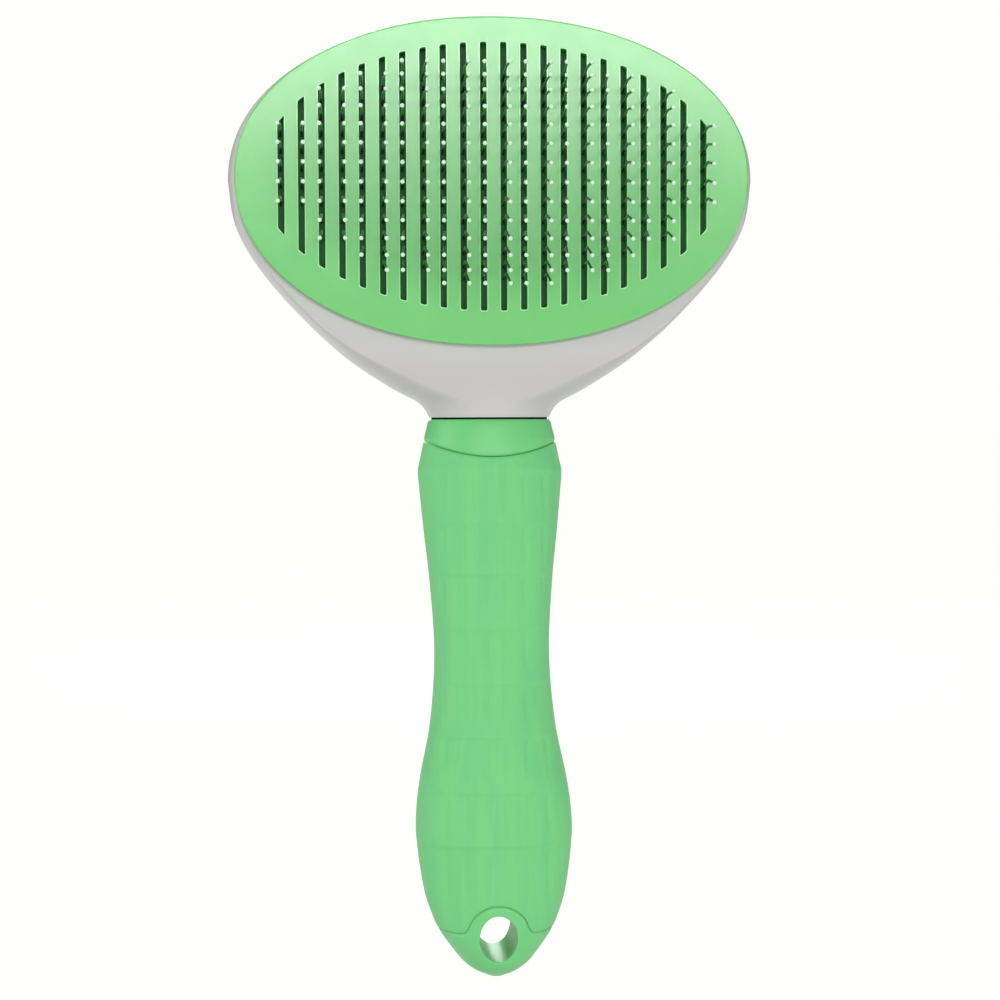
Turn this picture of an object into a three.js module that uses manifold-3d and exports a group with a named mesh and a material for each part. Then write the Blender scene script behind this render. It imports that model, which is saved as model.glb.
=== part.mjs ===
// A self-cleaning slicker brush for pets: an oval head with 22 rows of bent, ball-tipped wire pins
// standing through a slotted front plate, and a rubber-sleeved handle with a hanging hole.
// A button on the back of the head pushes the slotted plate forward along the pins, which lifts
// the collected hair off them; two springs bring it back.
//
// Millimetres. X runs across the brush, Z up the handle to the top of the head, and -Y is the
// side the pins point to. The handle's end stands on Z = 0.

import * as THREE from 'three';
import { mergeVertices } from 'three/addons/utils/BufferGeometryUtils.js';
import Module from 'manifold-3d';

const wasm = await Module();
wasm.setup();

// ---- Driving dimensions: depths (Y) are from the axis of the neck, before the final shift ----

const GAP = 0.3; // between pieces that touch

const HEAD_Z = 158.9; // where the plate's egg-shaped outline is widest
const PLATE = { halfWidth: 50.75, above: 31.1, below: 33.4, power: 2.08, front: -15, thick: 2 };
const FLANGE_BACK = -13.4;
const SKIRT = { inset: 1.8, wall: 1.2, back: -4.5 };
const TRAVEL = 8; // how far the plate and the button move forward

const SLOT = { count: 22, pitch: 3.968, width: 1.4 };
const FIELD = { z: 158.6, halfWidth: 45.8, halfHeight: 26.3 }; // the oval that ends the slots

const SHELL = { halfWidth: 52.3, top: 190.9, wideZ: 158.2, power: 2.1 };
const RIM_FRONT = -13.1;
const SHELL_WIDEST = -6.5;
const SHELL_BACK = 9.5;
const SHELL_WALL = 2;
const NECK_Z = 111.3;
const TANG = { halfWidth: 7.3, halfDepth: 5.8, power: 4, low: 90 };
// The dome inside the shell, behind the straight bore for the plate's skirt.
const HOLLOW = { halfWidth: 50.2, halfHeight: 31, power: 4, depths: [-6, -2, 1, 3.5, 5.3, 6.6, 7.3] };
const BORE_BACK = -5;

const BED = { front: -12.4, back: -10, inset: 3.5, halfWidth: 42.8 };
const SLIT = { width: 1.25, below: 0.6, above: 1.2 }; // past the row's lowest and highest wires
const CROWN = { front: -9.8, back: -9.3, halfWidth: 0.36, past: 0.4 };
const BACKING = { front: -9, back: -8 };
const BED_SCREW = { x: 23.8, zs: [178.8, 138.3], headR: 1.5, headH: 1, shankR: 0.8, length: 9 };
const BED_BOSS = { radius: 2.4, back: 6.5 };

const PIN_COUNTS = [5, 5, 9, 9, 11, 12, 13, 13, 14, 14, 14]; // per row, from the side to the middle
const PIN = { levels: 14, wireR: 0.27, beadR: 0.5, reach: 10.5, knee: 5 };
const TIPS = { middle: 158.3, half: 24.4, crowding: 0.39 }; // the levels crowd towards both ends
const LEAN_X = { base: 0.1, tip: 0.45 }; // neighbouring rows lean to opposite sides
const LOWER_LEAN = { middle: 0.14, perMm: 0.0031 }; // rise per mm of lower leg, growing up the head
const UPPER_LEAN = { middle: -0.19, perMm: 0.0116 };

const POST = { x: 44.9, radius: 1.6 };
// The pusher's arms stop just short of the backing plate at the end of the travel.
const ARM = { front: BACKING.back + TRAVEL + GAP, thick: 1.6, halfHeight: 3.4, step: 1.4 };
const ARM_BACK = ARM.front + ARM.thick;
const PUSHER = { front: 4.3, back: 6.3, halfWidth: 24, low: 138, high: 165, stem: 2, rim: 1.5 };
const POST_SCREW = { headR: 1.4, headH: 0.6, shankR: 0.7, length: 7 };

const BUTTON = { z: 150, halfWidth: 13.5, halfHeight: 15.5, power: 2.4, top: 16, wall: 1.6 };
const BUTTON_SCREW = { zs: [142, 158], headR: 1.8, headH: 1, shankR: 0.9, length: 8 };
const BUTTON_BOSS = { radius: 2.6, inset: 2 };
const BEZEL = { margin: 3.2, back: 10.6, gap: 0.4 };

const SPRING = { x: 19.5, coilR: 2.3, wireR: 0.25, turns: 5 };

const BEND = 12.5; // how far forward the handle's end curves
const COLLAR_TOP = 111;
const HOLE = { z: 8.65, halfWidth: 3.75, halfHeight: 4.6 };
const ARCH = { halfWidth: 6.2, top: 15.15 }; // hard plastic above the hanging hole
const TAIL_TOP = 9.5;
const SEAM = { middle: 103.4, sides: 106.2 }; // the sleeve's upper lip dips in the middle
const SLEEVE_WALL = 2.2;
const BANDS = [100.2, 89.8, 79.5, 68.9, 58.1, 47.6, 37, 26.4]; // steps round the grip
const BAND_STEP = 0.25;
const BAND_LIP = 0.35; // the height in which a band steps in
const HANDLE_POWER = 2.2;
const ROD_LOW = 25; // the solid tail runs up to here, inside the sleeve
const ROD_HEIGHTS = [5, 16, 27.5, 38.8, 49.9, 63.9, 77.9, 89.2, 100, 110]; // of the rod in the sleeve

// Handle sections: height, half width, half depth.
const HANDLE = [
  [0, 1.6, 2.4],
  [1.3, 4.4, 5.6],
  [3, 6.7, 7.6],
  [5.7, 8.95, 9.2],
  [8.5, 11, 9.9],
  [11.2, 12.4, 10.3],
  [16.7, 14.2, 10.8],
  [27.5, 15.7, 11.8],
  [33.3, 15.55, 12.2],
  [38.8, 14.8, 12.2],
  [49.9, 12.65, 10.9],
  [63.9, 11.65, 10],
  [77.9, 12.45, 10.6],
  [89.2, 13.65, 11.3],
  [97, 14.4, 11.6],
  [100.6, 14.65, 11.6],
  [103, 14.15, 11.4],
  [106.2, 13.5, 11.1],
];
const COLLAR = [
  [102, 13.7, 11.1],
  [106.4, 13.25, 10.9],
  [107.2, 13.35, 10.95],
  [109, 12.85, 10.65],
  [110.4, 12.5, 10.3],
  [COLLAR_TOP, 12.1, 10],
];
// Half width of the shell's silhouette from the neck up to the widest line.
const SHELL_SIDE = [
  [NECK_Z, 12.25],
  [111.9, 12.55],
  [112.8, 13],
  [114, 14],
  [114.8, 15.1],
  [116, 17.5],
  [118, 21],
  [122.7, 28.1],
  [127.4, 33.6],
  [132.1, 38.4],
  [136.8, 42.75],
  [141.5, 46.5],
  [146.2, 49.45],
  [150.9, 51.3],
  [SHELL.wideZ, SHELL.halfWidth],
];

// ---- Helpers ----

const v = (x, y, z) => new THREE.Vector3(x, y, z);
const lerp = THREE.MathUtils.lerp;

// A smooth value at t through rows of [t, value, ...].
function sample(rows, t, column = 1) {
  let i = 0;
  while (i < rows.length - 2 && t > rows[i + 1][0]) i += 1;
  const slope = (k) => {
    const a = rows[Math.max(k - 1, 0)];
    const b = rows[Math.min(k + 1, rows.length - 1)];
    return (b[column] - a[column]) / (b[0] - a[0]);
  };
  const [low, high] = [rows[i], rows[i + 1]];
  const span = high[0] - low[0];
  const u = THREE.MathUtils.clamp((t - low[0]) / span, 0, 1);
  const [uu, uuu] = [u * u, u * u * u];
  return (
    (2 * uuu - 3 * uu + 1) * low[column] +
    (uuu - 2 * uu + u) * span * slope(i) +
    (3 * uu - 2 * uuu) * high[column] +
    (uuu - uu) * span * slope(i + 1)
  );
}

// One closed surface from loose triangles: corners merged, slivers dropped, faces pointing out.
function closedGeometry(points) {
  const merged = mergeVertices(new THREE.BufferGeometry().setFromPoints(points), 1e-3);
  const at = (i) => v().fromBufferAttribute(merged.attributes.position, i);
  const faces = [];
  let volume = 0;
  for (let i = 0; i < merged.index.count; i += 3) {
    const [a, b, c] = [0, 1, 2].map((k) => merged.index.getX(i + k));
    if (a === b || b === c || c === a) continue;
    faces.push([a, b, c]);
    volume += at(a).dot(at(b).cross(at(c)));
  }
  merged.setIndex(faces.flatMap(([a, b, c]) => (volume > 0 ? [a, b, c] : [a, c, b])));
  return merged;
}

function pointsOf(geometry) {
  const loose = geometry.index ? geometry.toNonIndexed() : geometry;
  const position = loose.attributes.position;
  return Array.from({ length: position.count }, (_, i) => v().fromBufferAttribute(position, i));
}

const clean = (geometry) => closedGeometry(pointsOf(geometry));

function solid(geometry) {
  const closed = clean(geometry);
  return new wasm.Manifold(
    new wasm.Mesh({
      numProp: 3,
      vertProperties: closed.attributes.position.array,
      triVerts: Uint32Array.from(closed.index.array),
    }),
  );
}

function geometryOf(manifold) {
  const mesh = manifold.getMesh();
  const geometry = new THREE.BufferGeometry();
  geometry.setAttribute('position', new THREE.BufferAttribute(mesh.vertProperties, 3));
  geometry.setIndex(new THREE.BufferAttribute(mesh.triVerts, 1));
  return geometry;
}

const join = (solids) => solids.reduce((whole, piece) => whole.add(piece));

// A closed body through rings of equal length. Its ends are flat, or come to the given apex.
function loft(rings, apex = null) {
  const points = [];
  const quad = (a, b, c, d) => points.push(a, b, c, a, c, d);
  for (let k = 0; k + 1 < rings.length; k += 1) {
    rings[k].forEach((p, i) => {
      const j = (i + 1) % rings[k].length;
      quad(p, rings[k][j], rings[k + 1][j], rings[k + 1][i]);
    });
  }
  const middle = (ring) => ring.reduce((sum, p) => sum.add(p), v()).divideScalar(ring.length);
  const close = (ring, hub, flip) => {
    ring.forEach((p, i) => {
      const next = ring[(i + 1) % ring.length];
      points.push(hub, ...(flip ? [next, p] : [p, next]));
    });
  };
  close(rings[0], middle(rings[0]), true);
  close(rings.at(-1), apex ?? middle(rings.at(-1)), false);
  return closedGeometry(points);
}

// A point of an oval whose corners fill out as its power grows past 2. An egg has its own below.
function oval(halfWidth, above, power, angle, below = above) {
  const reach = (part) => Math.sign(part) * Math.abs(part) ** (2 / power);
  const halfHeight = Math.sin(angle) > 0 ? above : below;
  return [halfWidth * reach(Math.cos(angle)), halfHeight * reach(Math.sin(angle))];
}

function ovalRing(count, halfWidth, above, power, place, below = above) {
  return Array.from({ length: count }, (_, i) =>
    place(...oval(halfWidth, above, power, (2 * Math.PI * i) / count, below)),
  );
}

// Rings of [y, inset] round the plate's outline make a body stacked along Y.
function headStack(layers, count = 56) {
  return loft(
    layers.map(([y, inset]) =>
      ovalRing(
        count,
        PLATE.halfWidth - inset,
        PLATE.above - inset,
        PLATE.power,
        (x, z) => v(x, y, HEAD_Z + z),
        PLATE.below - inset,
      ),
    ),
  );
}

// A flat outline in X and Z, extruded along Y.
function prism(shape, front, back) {
  const geometry = new THREE.ExtrudeGeometry(shape, {
    depth: back - front,
    bevelEnabled: false,
    curveSegments: 12,
  });
  return geometry.rotateX(Math.PI / 2).translate(0, back, 0);
}

function shapeOf(corners) {
  return new THREE.Shape(corners.map(([x, z]) => new THREE.Vector2(x, z)));
}

function ovalPrism(z, halfWidth, halfHeight, power, front, back, count = 32) {
  return prism(
    shapeOf(ovalRing(count, halfWidth, halfHeight, power, (x, dz) => [x, z + dz])),
    front,
    back,
  );
}

function block(x0, x1, y0, y1, z0, z1) {
  return new THREE.BoxGeometry(x1 - x0, y1 - y0, z1 - z0).translate(
    (x0 + x1) / 2,
    (y0 + y1) / 2,
    (z0 + z1) / 2,
  );
}

function rod(x, z, radius, front, back, sides = 12) {
  return new THREE.CylinderGeometry(radius, radius, back - front, sides).translate(
    x,
    (front + back) / 2,
    z,
  );
}

// ---- Materials ----

function plastic(colour, roughness) {
  return new THREE.MeshStandardMaterial({ color: colour, roughness, metalness: 0 });
}
const GREEN_GLOSS = plastic(0x8fdc98, 0.35);
const GREEN_SATIN = plastic(0x78cd82, 0.45);
const GREEN_RUBBER = plastic(0x77ce82, 0.7);
const WHITE = plastic(0xe2e2e0, 0.3);
const DARK_GREEN = plastic(0x3f8f55, 0.5);
const STEEL = new THREE.MeshStandardMaterial({ color: 0xb8bcc0, roughness: 0.3, metalness: 1 });

const brush = new THREE.Group();
// Puts the middle of the brush's depth, from pin tips to button, on Y = 0.
brush.position.y = -(PLATE.front - PIN.reach + BUTTON.top) / 2;

function addPiece(name, geometry, material) {
  const mesh = new THREE.Mesh(geometry, material);
  mesh.name = name;
  brush.add(mesh);
}

// ---- Slots ----

const slotX = (column) => (column - (SLOT.count - 1) / 2) * SLOT.pitch;

// The plate's slots as thin upright prisms whose ends follow an oval.
function slotPrisms(front, back) {
  const end = (x) => FIELD.halfHeight * Math.sqrt(1 - (x / FIELD.halfWidth) ** 2);
  const prisms = Array.from({ length: SLOT.count }, (_, column) => {
    const [left, right] = [slotX(column) - SLOT.width / 2, slotX(column) + SLOT.width / 2];
    const corners = [
      [left, FIELD.z - end(left)],
      [right, FIELD.z - end(right)],
      [right, FIELD.z + end(right)],
      [left, FIELD.z + end(left)],
    ];
    return solid(prism(shapeOf(corners), front, back));
  });
  return join(prisms);
}

// ---- The slotted plate that lifts the hair off ----

function frontPlate() {
  const skirtFront = PLATE.front + 1;
  const face = headStack([
    [PLATE.front, 1],
    [PLATE.front + 0.3, 0.3],
    [PLATE.front + 1, 0],
    [FLANGE_BACK, 0],
  ]);
  const webBack = PLATE.front + PLATE.thick;
  const web = headStack([[skirtFront, SKIRT.inset], [webBack, SKIRT.inset]]);
  const skirtWall = solid(headStack([[skirtFront, SKIRT.inset], [SKIRT.back, SKIRT.inset]]));
  const inside = SKIRT.inset + SKIRT.wall;
  const skirt = skirtWall.subtract(
    solid(headStack([[webBack - 0.5, inside], [SKIRT.back + 1, inside]])),
  );
  const posts = [-1, 1].map((side) =>
    solid(rod(side * POST.x, FIELD.z, POST.radius, skirtFront, ARM.front - GAP)),
  );
  const pilots = [-1, 1].map((side) =>
    solid(rod(side * POST.x, FIELD.z, POST_SCREW.shankR + GAP, ARM.front - POST_SCREW.length, 2, 8)),
  );
  return geometryOf(
    join([solid(face), solid(web), skirt, ...posts])
      .subtract(join(pilots))
      .subtract(slotPrisms(PLATE.front - 1, webBack + 1)),
  );
}

// ---- Pins and the bed that carries them ----

// An oval slab inside the skirt, cut off square at both sides to clear the plate's posts.
function bedSlab(front, back) {
  const slab = solid(headStack([[front, BED.inset], [back, BED.inset]], 48));
  const band = solid(block(-BED.halfWidth, BED.halfWidth, front - 1, back + 1, 100, 200));
  return slab.intersect(band);
}

function bedScrewPlaces() {
  return BED_SCREW.zs.flatMap((z) => [-1, 1].map((side) => [side * BED_SCREW.x, z]));
}

function pinBed() {
  const slits = Array.from({ length: SLOT.count }, (_, column) => {
    const crowns = rowPaths(column).map(([crown]) => crown);
    const [left, right] = [slotX(column) - SLIT.width / 2, slotX(column) + SLIT.width / 2];
    const [low, high] = [crowns.at(-1).z - SLIT.below, crowns[0].z + SLIT.above];
    return solid(block(left, right, BED.front - 1, BED.back + 1, low, high));
  });
  const holes = bedScrewPlaces().flatMap(([x, z]) => [
    solid(rod(x, z, BED_SCREW.shankR + GAP, BED.front - 1, BED.back + 1, 8)),
    solid(rod(x, z, BED_SCREW.headR + GAP, BED.front - 1, BED.front + BED_SCREW.headH + GAP)),
  ]);
  return geometryOf(
    bedSlab(BED.front, BED.back)
      .subtract(join(slits))
      .subtract(join(holes)),
  );
}

function backingPlate() {
  const holes = bedScrewPlaces().map(([x, z]) =>
    solid(rod(x, z, BED_SCREW.shankR + GAP, BACKING.front - 1, BACKING.back + 1, 8)),
  );
  return geometryOf(bedSlab(BACKING.front, BACKING.back).subtract(join(holes)));
}

// The path of one pin: crown, knee and ball, from the level of its tip.
function pinPath(column, level) {
  const side = column % 2 === 1 ? 1 : -1;
  const place = 1 - (2 * level) / (PIN.levels - 1);
  const tipZ = TIPS.middle + TIPS.half * (place - (TIPS.crowding * place ** 3) / 3);
  const up = tipZ - FIELD.z;
  const crownY = (CROWN.front + CROWN.back) / 2;
  const kneeY = PLATE.front - PIN.knee;
  const tipY = PLATE.front - PIN.reach + PIN.beadR;
  const kneeZ = tipZ - (UPPER_LEAN.middle + UPPER_LEAN.perMm * up) * (kneeY - tipY);
  const crownZ = kneeZ - (LOWER_LEAN.middle + LOWER_LEAN.perMm * up) * (crownY - kneeY);
  const leanAt = (y) => side * lerp(LEAN_X.base, LEAN_X.tip, (crownY - y) / (crownY - tipY));
  return [
    [crownY, crownZ],
    [kneeY, kneeZ],
    [tipY, tipZ],
  ].map(([y, z]) => v(slotX(column) + leanAt(y), y, z));
}

function onePin([crown, knee, tip]) {
  const ring = (centre, radius) =>
    [90, 210, 330].map((degrees) => {
      const angle = THREE.MathUtils.degToRad(degrees);
      return v(centre.x + radius * Math.cos(angle), centre.y, centre.z + radius * Math.sin(angle));
    });
  const alongUpper = tip.clone().sub(knee).normalize();
  const beadStart = tip.clone().addScaledVector(alongUpper, -PIN.beadR);
  return loft(
    [
      ring(crown, PIN.wireR),
      ring(knee, PIN.wireR),
      ring(beadStart, PIN.wireR),
      ring(tip, PIN.beadR),
    ],
    v(tip.x, PLATE.front - PIN.reach, tip.z),
  );
}

// The paths of a row's pins, from the top one down.
function rowPaths(column) {
  const count = PIN_COUNTS[Math.min(column, SLOT.count - 1 - column)];
  const first = Math.floor((PIN.levels - count) / 2);
  return Array.from({ length: count }, (_, i) => pinPath(column, first + i));
}

function pinRow(column) {
  const paths = rowPaths(column);
  const crowns = paths.map(([crown]) => crown);
  const bar = block(
    crowns[0].x - CROWN.halfWidth,
    crowns[0].x + CROWN.halfWidth,
    CROWN.front,
    CROWN.back,
    crowns.at(-1).z - CROWN.past,
    crowns[0].z + CROWN.past,
  );
  return geometryOf(join([solid(bar), ...paths.map((path) => solid(onePin(path)))]));
}

// ---- The head's shell, with the neck and the tang that plugs into the handle ----

// How the shell's section changes from the neck (0) to the head (1).
const headShare = (z) => THREE.MathUtils.smoothstep(z, NECK_Z, 127);

// One half section, from the front of the spine round the edge to the back of the spine.
function shellHalfSection(spineZ, edgeX, edgeZ) {
  const share = headShare(spineZ);
  const reach = Math.hypot(edgeX, edgeZ - spineZ);
  const widest = lerp(0, SHELL_WIDEST, THREE.MathUtils.smoothstep(spineZ, NECK_Z + 4, 156));
  const front = lerp(-10.3, RIM_FRONT, share);
  const back = lerp(10.3, SHELL_BACK, share);
  const backPower = lerp(2.3, 4, share);
  const rounding = Math.min(lerp(11, 1.5, THREE.MathUtils.smoothstep(spineZ, NECK_Z, 134)), reach);
  const place = (r, y) => v((edgeX * r) / reach, y, spineZ + ((edgeZ - spineZ) * r) / reach);
  const points = [place(0, front)];
  const turns = 4;
  for (let i = 0; i <= turns; i += 1) {
    const angle = (Math.PI / 2) * (i / turns);
    points.push(
      place(reach - rounding * (1 - Math.sin(angle)), widest + (front - widest) * Math.cos(angle)),
    );
  }
  const steps = 6;
  for (let i = 1; i <= steps; i += 1) {
    const [r, y] = oval(reach, back - widest, backPower, (Math.PI / 2) * (i / steps));
    points.push(place(i === steps ? 0 : r, widest + y));
  }
  return points;
}

function shellBody() {
  const lower = SHELL_SIDE.slice(0, -1).map(([z, halfWidth]) => [z, halfWidth, z]);
  const turns = 24;
  const upper = Array.from({ length: turns + 1 }, (_, i) => {
    const [x, dz] = oval(
      SHELL.halfWidth,
      SHELL.top - SHELL.wideZ,
      SHELL.power,
      (Math.PI * i) / turns,
    );
    return [SHELL.wideZ, x, SHELL.wideZ + dz];
  });
  const left = lower.map(([z, halfWidth, edgeZ]) => [z, -halfWidth, edgeZ]).reverse();
  const sections = [...lower, ...upper, ...left].map((station) => shellHalfSection(...station));
  const points = [];
  for (let k = 0; k + 1 < sections.length; k += 1) {
    for (let i = 0; i + 1 < sections[k].length; i += 1) {
      const [a, b, c, d] = [
        sections[k][i],
        sections[k][i + 1],
        sections[k + 1][i + 1],
        sections[k + 1][i],
      ];
      points.push(a, b, c, a, c, d);
    }
  }
  const neckRing = [...sections.at(-1), ...sections[0].slice(1, -1).reverse()];
  const middle = v(0, 0, NECK_Z);
  neckRing.forEach((p, i) => {
    points.push(middle, p, neckRing[(i + 1) % neckRing.length]);
  });
  return closedGeometry(points);
}

// The space inside the shell: a straight bore for the plate's skirt, then a dome.
function shellHollow() {
  const inset = SKIRT.inset - GAP - 0.1;
  const bore = headStack([[RIM_FRONT - 2, inset], [BORE_BACK, inset]]);
  const depth = SHELL_BACK - SHELL_WALL - SHELL_WIDEST;
  const rings = HOLLOW.depths.map((y) => {
    const share = ((y - SHELL_WIDEST) / depth) ** HOLLOW.power;
    const scale = (1 - share) ** (1 / HOLLOW.power);
    const [halfWidth, halfHeight] = [HOLLOW.halfWidth * scale, HOLLOW.halfHeight * scale];
    return ovalRing(48, halfWidth, halfHeight, SHELL.power, (x, z) => v(x, y, SHELL.wideZ + z));
  });
  return solid(bore).add(solid(loft(rings)));
}

function rearShell() {
  const bezel = ovalPrism(
    BUTTON.z,
    BUTTON.halfWidth + BEZEL.margin,
    BUTTON.halfHeight + BEZEL.margin,
    BUTTON.power,
    SHELL_BACK - SHELL_WALL,
    BEZEL.back,
  );
  const opening = ovalPrism(
    BUTTON.z,
    BUTTON.halfWidth + BEZEL.gap,
    BUTTON.halfHeight + BEZEL.gap,
    BUTTON.power,
    2,
    BEZEL.back + 5,
  );
  const tang = loft(
    [TANG.low, NECK_Z + 2].map((z) =>
      ovalRing(20, TANG.halfWidth, TANG.halfDepth, TANG.power, (x, y) => v(x, y, z)),
    ),
  );
  const bosses = bedScrewPlaces().map(([x, z]) =>
    solid(rod(x, z, BED_BOSS.radius, BACKING.back + GAP, BED_BOSS.back)),
  );
  const pilots = bedScrewPlaces().map(([x, z]) =>
    solid(rod(x, z, BED_SCREW.shankR + GAP, BACKING.back - 1, BED.front + BED_SCREW.length + 1, 8)),
  );
  return geometryOf(
    solid(shellBody())
      .add(solid(bezel))
      .subtract(shellHollow())
      .add(join([solid(tang), ...bosses]))
      .subtract(join([solid(opening), ...pilots])),
  );
}

// ---- Button, pusher and springs ----

function pushButton() {
  const layers = [
    [PUSHER.back + GAP, 0],
    [BUTTON.top - 4, 0],
    [BUTTON.top - 2.2, 0.6],
    [BUTTON.top - 0.8, 2.2],
    [BUTTON.top - 0.2, 5],
    [BUTTON.top, 9],
  ];
  const cap = (inset, top) =>
    loft(
      layers.map(([y, step]) =>
        ovalRing(
          28,
          BUTTON.halfWidth - inset - step,
          BUTTON.halfHeight - inset - step,
          BUTTON.power,
          (x, z) => v(x, y + top, BUTTON.z + z),
        ),
      ),
    );
  const inside = solid(cap(BUTTON.wall, -BUTTON.wall));
  const bosses = BUTTON_SCREW.zs.map((z) =>
    solid(rod(0, z, BUTTON_BOSS.radius, PUSHER.back + GAP, BUTTON.top - BUTTON_BOSS.inset)),
  );
  const pilots = BUTTON_SCREW.zs.map((z) =>
    solid(rod(0, z, BUTTON_SCREW.shankR + GAP, PUSHER.front, PUSHER.front + BUTTON_SCREW.length, 8)),
  );
  return geometryOf(
    solid(cap(0, 0)).subtract(inside).add(join(bosses)).subtract(join(pilots)),
  );
}

// A plate behind the button, with two stepped arms that reach the posts of the slotted plate.
function pusherFrame() {
  const [low, high] = [FIELD.z - ARM.halfHeight, FIELD.z + ARM.halfHeight];
  const [armLow, armHigh] = [low + ARM.step, high - ARM.step];
  const centre = block(
    -PUSHER.halfWidth,
    PUSHER.halfWidth,
    PUSHER.front,
    PUSHER.back,
    low,
    high,
  );
  const pad = ovalPrism(
    (PUSHER.low + PUSHER.high) / 2,
    BUTTON.halfWidth + PUSHER.rim,
    (PUSHER.high - PUSHER.low) / 2,
    BUTTON.power,
    PUSHER.front,
    PUSHER.back,
  );
  const sides = [-1, 1].flatMap((side) => {
    const inner = side * (PUSHER.halfWidth - PUSHER.stem);
    const stem = side * PUSHER.halfWidth;
    const tip = side * (POST.x + POST.radius);
    return [
      block(Math.min(inner, stem), Math.max(inner, stem), ARM.front, PUSHER.back, low, high),
      block(Math.min(inner, tip), Math.max(inner, tip), ARM.front, ARM_BACK, armLow, armHigh),
    ];
  });
  const holes = [
    ...[-1, 1].map((side) => rod(side * POST.x, FIELD.z, POST_SCREW.shankR + GAP, -1, 4, 8)),
    ...BUTTON_SCREW.zs.map((z) => rod(0, z, BUTTON_SCREW.shankR + GAP, 3, 8, 8)),
  ];
  return geometryOf(
    join([centre, pad, ...sides].map(solid)).subtract(join(holes.map(solid))),
  );
}

// A screw with its axis along Y. Its head sits at headY; direction is where the shank points.
function screw({ headR, headH, shankR, length }, x, headY, z, direction) {
  const profile = [
    [0, 0],
    [headR * 0.8, 0],
    [headR, headH * 0.4],
    [headR, headH],
    [shankR, headH],
    [shankR, length - shankR],
    [0, length],
  ];
  const points = profile.map(([r, along]) => new THREE.Vector2(r, direction * along));
  return clean(new THREE.LatheGeometry(points, 8).translate(x, headY, z));
}

class Helix extends THREE.Curve {
  constructor(x, z, front, back) {
    super();
    Object.assign(this, { x, z, front, back });
  }

  getPoint(t, target = v()) {
    const angle = 2 * Math.PI * SPRING.turns * t;
    return target.set(
      this.x + SPRING.coilR * Math.cos(angle),
      lerp(this.front, this.back, t),
      this.z + SPRING.coilR * Math.sin(angle),
    );
  }
}

function returnSpring(side) {
  const inset = SPRING.wireR + GAP;
  const path = new Helix(side * SPRING.x, FIELD.z, BACKING.back + inset, PUSHER.front - inset);
  const section = shapeOf(
    [0, 1, 2, 3].map((i) => [
      SPRING.wireR * Math.cos((Math.PI * i) / 2),
      SPRING.wireR * Math.sin((Math.PI * i) / 2),
    ]),
  );
  return clean(
    new THREE.ExtrudeGeometry(section, { steps: SPRING.turns * 10, extrudePath: path }),
  );
}

// ---- Handle ----

const bendAt = (z) => -BEND * Math.max(0, (NECK_Z + 4 - z) / (NECK_Z + 4)) ** 1.3;

// A stretch of the handle, drawn in by inset, through the given heights.
function handleBody(table, heights, inset, count, stepAt = () => 0) {
  return loft(
    heights.map((z) => {
      const grow = stepAt(z) - inset;
      return ovalRing(
        count,
        sample(table, z, 1) + grow,
        sample(table, z, 2) + grow,
        HANDLE_POWER,
        (x, y) => v(x, bendAt(z) + y, z),
      );
    }),
  );
}

// The grip's bands overlap like shingles: each swells to its lower edge, then steps in.
function bandStep(z) {
  const edges = [SEAM.middle + 3, ...BANDS, TAIL_TOP];
  const index = edges.findIndex((edge) => z > edge);
  if (index < 1) return 0;
  const [top, bottom] = [edges[index - 1], edges[index]];
  return lerp(BAND_STEP, 0, (z - bottom) / (top - bottom));
}

// Everything above the sleeve's dipping upper lip.
function aboveSeam(lift) {
  const count = 10;
  const dip = Array.from({ length: count + 1 }, (_, i) => {
    const x = lerp(-16, 16, i / count);
    const rise = Math.min((x / 13) ** 2, 1) * (SEAM.sides - SEAM.middle);
    return [x, SEAM.middle + rise + lift];
  });
  return solid(prism(shapeOf([...dip, [16, 120], [-16, 120]]), -20, 20));
}

// The hard tail: the end of the handle, and the arch over the hanging hole.
function tailRegion(grow) {
  const count = 10;
  const arch = Array.from({ length: count + 1 }, (_, i) => {
    const angle = (Math.PI * i) / count;
    const rise = ARCH.top - TAIL_TOP + grow;
    return [(ARCH.halfWidth + grow) * Math.cos(angle), TAIL_TOP + rise * Math.sin(angle)];
  });
  const level = TAIL_TOP + grow;
  const above = arch.map(([x, z]) => [x, Math.max(z, level)]);
  const outline = [[-20, -2], [20, -2], [20, level], ...above, [-20, level]];
  return solid(prism(shapeOf(outline), -40, 20));
}

function handleCore() {
  const tailHeights = [...HANDLE.map(([z]) => z).filter((z) => z < ROD_LOW), ROD_LOW];
  const tail = solid(handleBody(HANDLE, tailHeights, 0, 28));
  const inner = solid(handleBody(HANDLE, ROD_HEIGHTS, SLEEVE_WALL + GAP, 20));
  const collar = solid(handleBody(COLLAR, COLLAR.map(([z]) => z), 0, 28));
  const socket = loft(
    [TANG.low - GAP, COLLAR_TOP + 1].map((z) =>
      ovalRing(20, TANG.halfWidth + GAP, TANG.halfDepth + GAP, TANG.power, (x, y) => v(x, y, z)),
    ),
  );
  const hole = ovalPrism(HOLE.z, HOLE.halfWidth, HOLE.halfHeight, 2, -40, 10, 24);
  return geometryOf(
    join([tail.intersect(tailRegion(0)), inner, collar.intersect(aboveSeam(GAP))])
      .subtract(solid(socket))
      .subtract(solid(hole)),
  );
}

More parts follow.
